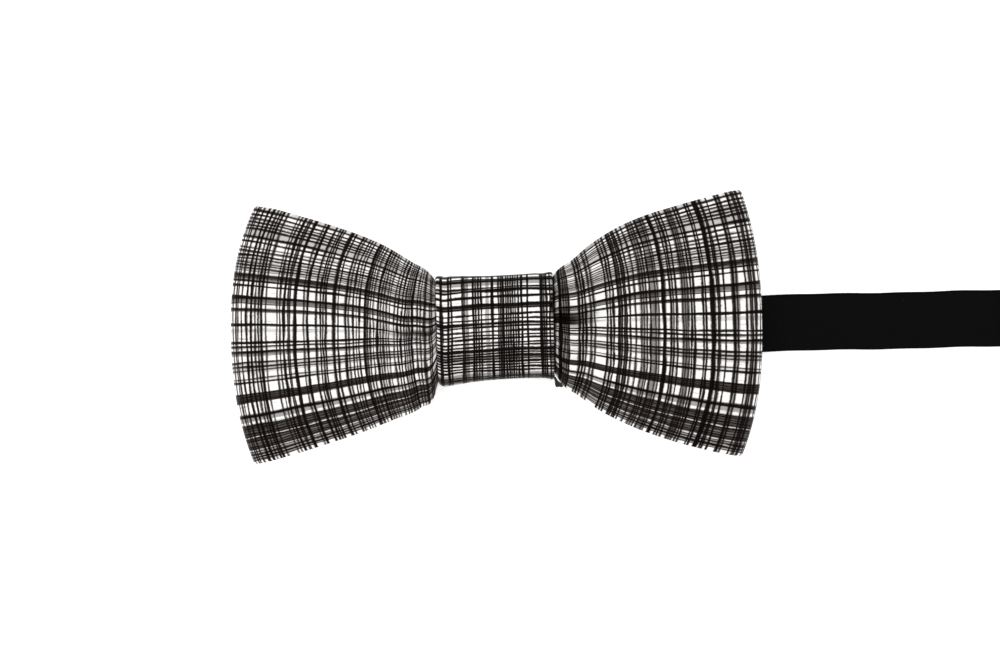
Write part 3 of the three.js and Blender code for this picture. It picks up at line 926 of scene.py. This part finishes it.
def loose_end():
    """The cut end of the sewing thread, frayed into two tufts, at the knot's lower corner."""
    low, high = span("thread_tail")
    level = (low[2] + high[2]) / 2
    parts = []
    for k in range(13):
        first = k < 8
        spread = (k - 4) * 0.1 if first else (k - 10) * 0.12
        start = (low[0] + 0.02, high[1] - 0.25 - 0.03 * k, level + 0.12 * math.sin(3 * k))
        end = (low[0] + (1.45 if first else 0.55) + spread, low[1] + 0.1 + 0.22 * abs(spread))
        bend = 0.16 * math.sin(2 * k)
        parts.append(thread([
            start,
            (start[0] + 0.3 + bend, (2 * start[1] + end[1]) / 3, level + 0.15 * math.cos(k)),
            ((start[0] + 2 * end[0]) / 3 + bend, (start[1] + 2 * end[1]) / 3, level),
            (*end, level + 0.1 * math.sin(k)),
        ], 0.15 if k % 3 else 0.2, X, 0.2))
    made = make("loose_thread_end", parts, THREAD, "bow")
    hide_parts("thread_tail")


def bar_tack(node, body):
    """A short row of zigzag stitches that holds the strap's layers together."""
    low, high = span(node)
    middle, half = (low[0] + high[0]) / 2, (high[0] - low[0]) / 2 - 0.15
    line, count = [], 22
    for k in range(count + 1):
        y = low[1] + 0.2 + (high[1] - low[1] - 0.4) * k / count
        x = middle + (half if k % 2 else -half)
        line += [(x, y - 0.05, low[2] + 0.08), (x, y + 0.05, low[2] + 0.08)]
        if k < count:
            line.append((middle, y + (high[1] - low[1]) / count / 2, low[2] + 0.22))
    made = make(node + "_stitches", [thread(line, 0.14, Z, 0.2)], THREAD, body)
    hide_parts(node)
    return made


knot_stitches()
bow()
knot()
binding()
loose_end()
eye_stitches = bar_tack("eye_tack", "bow")
hook_stitches = bar_tack("hook_tack", "band_end")
slider_stitches = bar_tack("slider_tack", "slider")


# ---------------------------------------------------------------- what each piece follows
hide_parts("slider_frame")
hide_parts("hook")
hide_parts("eye")
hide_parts("strap_inner_run")
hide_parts("strap_long_run", "strap_slider_hump")
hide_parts("strap_outer_run", "strap_hook_loop")
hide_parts("strap_return_run", "strap_slider_loop")
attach(strap_short, "bow")
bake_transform(strap_long)
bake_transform(strap_outer)
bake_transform(strap_return)
declare_ribbon(
    (KNOT_EDGE + 0.3, 0, KNOT_STRAP_LEVEL)
)
declare_ribbon(
    (UNDER_BAR, 0, UPPER_LAYER),
)
declare_ribbon(
    (HOOK_X - 2.1, 0, LOWER_LAYER)
)


# ---------------------------------------------------------------- floor and light
def floor():
    mesh = bpy.data.meshes.new("floor")
    half, steps = 3.0, 12
    grid = np.linspace(-half, half, steps + 1)
    points = [(x, y, -0.0001) for y in grid for x in grid]
    wide = steps + 1
    faces = [
        (j * wide + i, j * wide + i + 1, (j + 1) * wide + i + 1, (j + 1) * wide + i)
        for j in range(steps) for i in range(steps)
    ]
    mesh.from_pydata(points, [], faces)
    paper = Finish(
        "white_paper", "", Roughness=0.9, Emission_Color=(1, 1, 1, 1), Emission_Strength=0.45
    )
    grain = paper.noise(paper.in_frame(), 0.4, 3)
    paper.feed("Base Color", paper.blend(grain, (0.93, 0.93, 0.93), (0.96, 0.96, 0.96)))
    mesh.materials.append(paper.material)
    made = bpy.data.objects.new("floor", mesh)
    bpy.context.scene.collection.objects.link(made)


def lamp(name, place, size, power):
    data = bpy.data.lights.new(name, "AREA")
    data.size, data.energy = size, power
    made = bpy.data.objects.new(name, data)
    bpy.context.scene.collection.objects.link(made)
    made.location = place
    made.rotation_euler = (-Vector(place)).to_track_quat("-Z", "Y").to_euler()


def light():
    world = bpy.data.worlds.new("studio")
    bpy.context.scene.world = world
    world.use_nodes = True
    sky = world.node_tree.nodes["Background"].inputs
    sky["Color"].default_value, sky["Strength"].default_value = (1, 1, 1, 1), 0.88
    lamp("left_softbox", (-0.6, 0.1, 0.9), 0.5, 2.2)
    lamp("right_softbox", (0.6, 0.15, 1.1), 0.8, 1.4)
    lamp("far_softbox", (0.02, 0.3, 1.3), 1.0, 3)
    bpy.context.scene.view_settings.view_transform = "Standard"


floor()
light()
